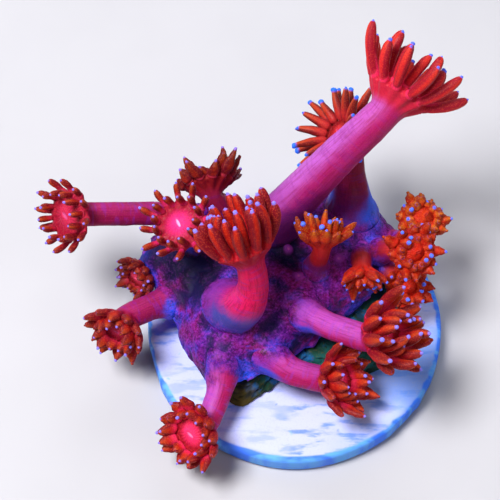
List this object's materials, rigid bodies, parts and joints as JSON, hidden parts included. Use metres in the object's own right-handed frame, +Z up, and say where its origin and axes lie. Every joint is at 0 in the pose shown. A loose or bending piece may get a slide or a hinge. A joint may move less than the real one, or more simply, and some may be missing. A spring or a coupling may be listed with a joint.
{
  "type": "flowerpot coral fragment",
  "caption": "Fleshy coral colony with long flower-like polyps held out on soft stalks, growing on a round ceramic disc.",
  "frame": {"origin": "middle of the disc's flat underside", "axes": "+Z up through the disc, -Z out of the underside it rests on, +X to the viewer's right and +Y to the back as pictured"},
  "size_m": [0.0693, 0.0602, 0.0571],
  "materials": {
    "disc_ceramic": "unglazed, matt, with press marks",
    "algae_rock": "rough, dark green with algae",
    "colony_tissue": "soft wet flesh, violet with blue and magenta patches",
    "polyp_tissue": "soft wet flesh, red to orange with pale blue tips and pink stalks"
  },
  "bodies": {
    "root": {"frag_disc": "disc_ceramic", "base_rock": "algae_rock", "colony_body": "colony_tissue", "polyp_tall": "polyp_tissue", "polyp_behind": "polyp_tissue", "polyp_back_left": "polyp_tissue", "polyp_far_left": "polyp_tissue", "polyp_left_facing": "polyp_tissue", "polyp_centre": "polyp_tissue", "polyp_small_right": "polyp_tissue", "polyp_right_top": "polyp_tissue", "polyp_right_upper": "polyp_tissue", "polyp_hanging": "polyp_tissue", "polyp_right_middle": "polyp_tissue", "polyp_right_front": "polyp_tissue", "polyp_front_right": "polyp_tissue", "polyp_front_left": "polyp_tissue", "polyp_left": "polyp_tissue", "polyp_left_small": "polyp_tissue"}
  },
  "joints": []
}
